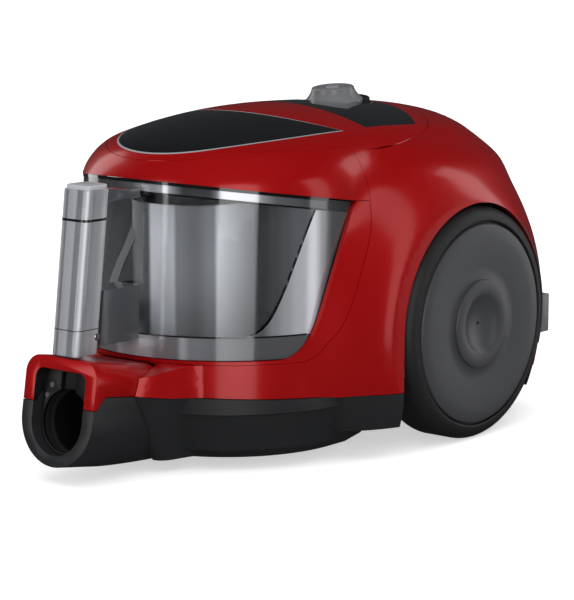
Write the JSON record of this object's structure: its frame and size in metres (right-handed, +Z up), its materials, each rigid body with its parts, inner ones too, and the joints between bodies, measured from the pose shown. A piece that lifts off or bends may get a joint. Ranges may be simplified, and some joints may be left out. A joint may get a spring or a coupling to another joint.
{
  "type": "canister vacuum cleaner",
  "caption": "Low canister vacuum cleaner with two large rear wheels, a front caster, a pull-out cyclone dust bin with carrying handle, a top control knob and a front hose inlet.",
  "frame": {"origin": "on the floor, on the machine's plane of symmetry, 70 mm ahead of the rear wheels' axle line", "axes": "+Z up, -Y towards the hose inlet at the front, +X to the side on the right when looking along +Y from the front"},
  "size_m": [0.272, 0.4139, 0.2416],
  "materials": {
    "red_gloss": "high gloss, deep red",
    "charcoal": "fine satin",
    "black_gloss": "high gloss",
    "silver_trim": "bright",
    "smoky_chrome": "smoked mirror",
    "clear": "clear",
    "smoke": "dark translucent look",
    "wheel_grey": "fine grain",
    "tyre_rubber": "matt",
    "steel": "plain",
    "knob_grey": "satin",
    "light_grey": "satin",
    "bumper_grey": "satin",
    "filter_foam": "open foam",
    "filter_paper": "pleated",
    "copper": "wound",
    "seal_rubber": "soft",
    "inner_plastic": "plain",
    "board_green": "coated"
  },
  "bodies": {
    "housing": {"main_housing": "red_gloss", "hood": "red_gloss", "top_cover": "red_gloss", "inlet_hood": "red_gloss", "front_lens": "black_gloss", "lens_trim": "silver_trim", "control_panel": "black_gloss", "bin_surround": "red_gloss", "bay_wall": "inner_plastic", "base_tray": "charcoal", "wheel_arch_left": "charcoal", "wheel_arch_right": "charcoal", "axle_left": "steel", "axle_right": "steel", "inlet_collar": "charcoal", "inlet_plate": "wheel_grey", "inlet_screws": "steel", "inlet_seal": "seal_rubber", "inlet_duct": "inner_plastic", "button_spring": "steel", "knob_seat": "charcoal", "rear_bumper": "bumper_grey", "exhaust_filter": "filter_paper", "motor_case": "inner_plastic", "motor_stator": "steel", "motor_mounts": "seal_rubber", "motor_filter": "filter_foam", "reel_frame": "inner_plastic", "cord_gland": "seal_rubber", "circuit_board": "board_green"},
    "wheel_left": {"wheel_disc_left": "wheel_grey", "tyre_left": "tyre_rubber"},
    "wheel_right": {"wheel_disc_right": "wheel_grey", "tyre_right": "tyre_rubber"},
    "caster": {"caster_fork": "charcoal", "caster_axle": "steel"},
    "caster_roller": {"caster_wheel": "wheel_grey"},
    "bin": {"bin_window": "clear", "bin_frame": "smoky_chrome", "bin_base": "smoky_chrome", "bin_lid": "smoky_chrome", "cyclone_body": "smoke", "cyclone_cone": "inner_plastic", "bin_handle": "clear", "handle_foot": "smoke", "release_spring": "steel"},
    "release": {"release_button": "light_grey"},
    "knob": {"knob": "knob_grey"},
    "power": {"power_button": "knob_grey"},
    "rewind": {"rewind_button": "charcoal"},
    "brake": {"brake_lever": "inner_plastic"},
    "exhaust_door": {"exhaust_cover": "charcoal"},
    "reel": {"reel_drum": "inner_plastic"},
    "rotor": {"motor_rotor": "copper"}
  },
  "joints": [
    {"name": "wheel_left_spin", "type": "hinge", "parent": "housing", "child": "wheel_left", "pos_m": [-0.118, 0.07, 0.082], "axis": [1, 0, 0], "continuous": true},
    {"name": "wheel_right_spin", "type": "hinge", "parent": "housing", "child": "wheel_right", "pos_m": [0.118, 0.07, 0.082], "axis": [1, 0, 0], "continuous": true},
    {"name": "caster_swivel", "type": "hinge", "parent": "housing", "child": "caster", "pos_m": [0, -0.108, 0.025], "axis": [0, 0, 1], "continuous": true},
    {"name": "caster_spin", "type": "hinge", "parent": "caster", "child": "caster_roller", "pos_m": [0, -0.117, 0.0125], "axis": [1, 0, 0], "continuous": true},
    {"name": "bin_pull", "type": "slide", "parent": "housing", "child": "bin", "axis": [0, -0.9879, 0.1551], "range_m": [0, 0.12]},
    {"name": "release_press", "type": "slide", "parent": "bin", "child": "release", "axis": [0, 0, -1], "range_m": [0, 0.004], "stiffness_N_per_m": 600, "springref_m": -0.0005, "deforming": ["release_spring"]},
    {"name": "knob_turn", "type": "hinge", "parent": "housing", "child": "knob", "pos_m": [0, 0.073, 0.2275], "axis": [0, -0.0993, 0.9951], "range_deg": [-135, 135]},
    {"name": "power_press", "type": "slide", "parent": "knob", "child": "power", "axis": [0, 0.0993, -0.9951], "range_m": [0, 0.0016], "stiffness_N_per_m": 800, "springref_m": -0.0005, "deforming": ["button_spring"]},
    {"name": "rewind_press", "type": "slide", "parent": "housing", "child": "rewind", "axis": [0, 0.0993, -0.9951], "range_m": [0, 0.0025], "stiffness_N_per_m": 600, "springref_m": -0.0006},
    {"name": "brake_lift", "type": "hinge", "parent": "housing", "child": "brake", "pos_m": [-0.04, 0.11, 0.187], "axis": [1, 0, 0], "range_deg": [0, 12]},
    {"name": "exhaust_open", "type": "hinge", "parent": "housing", "child": "exhaust_door", "pos_m": [0, 0.1866, 0.1482], "axis": [1, 0, 0], "range_deg": [0, 85]},
    {"name": "reel_spin", "type": "hinge", "parent": "housing", "child": "reel", "pos_m": [-0.058, 0.11, 0.112], "axis": [1, 0, 0], "continuous": true},
    {"name": "rotor_spin", "type": "hinge", "parent": "housing", "child": "rotor", "pos_m": [0.022, 0.038, 0.12], "axis": [0, 1, 0], "continuous": true}
  ],
  "couplings": [
    {"joint": "brake_lift", "follows": "rewind_press", "rad_per_m": 76.923}
  ]
}
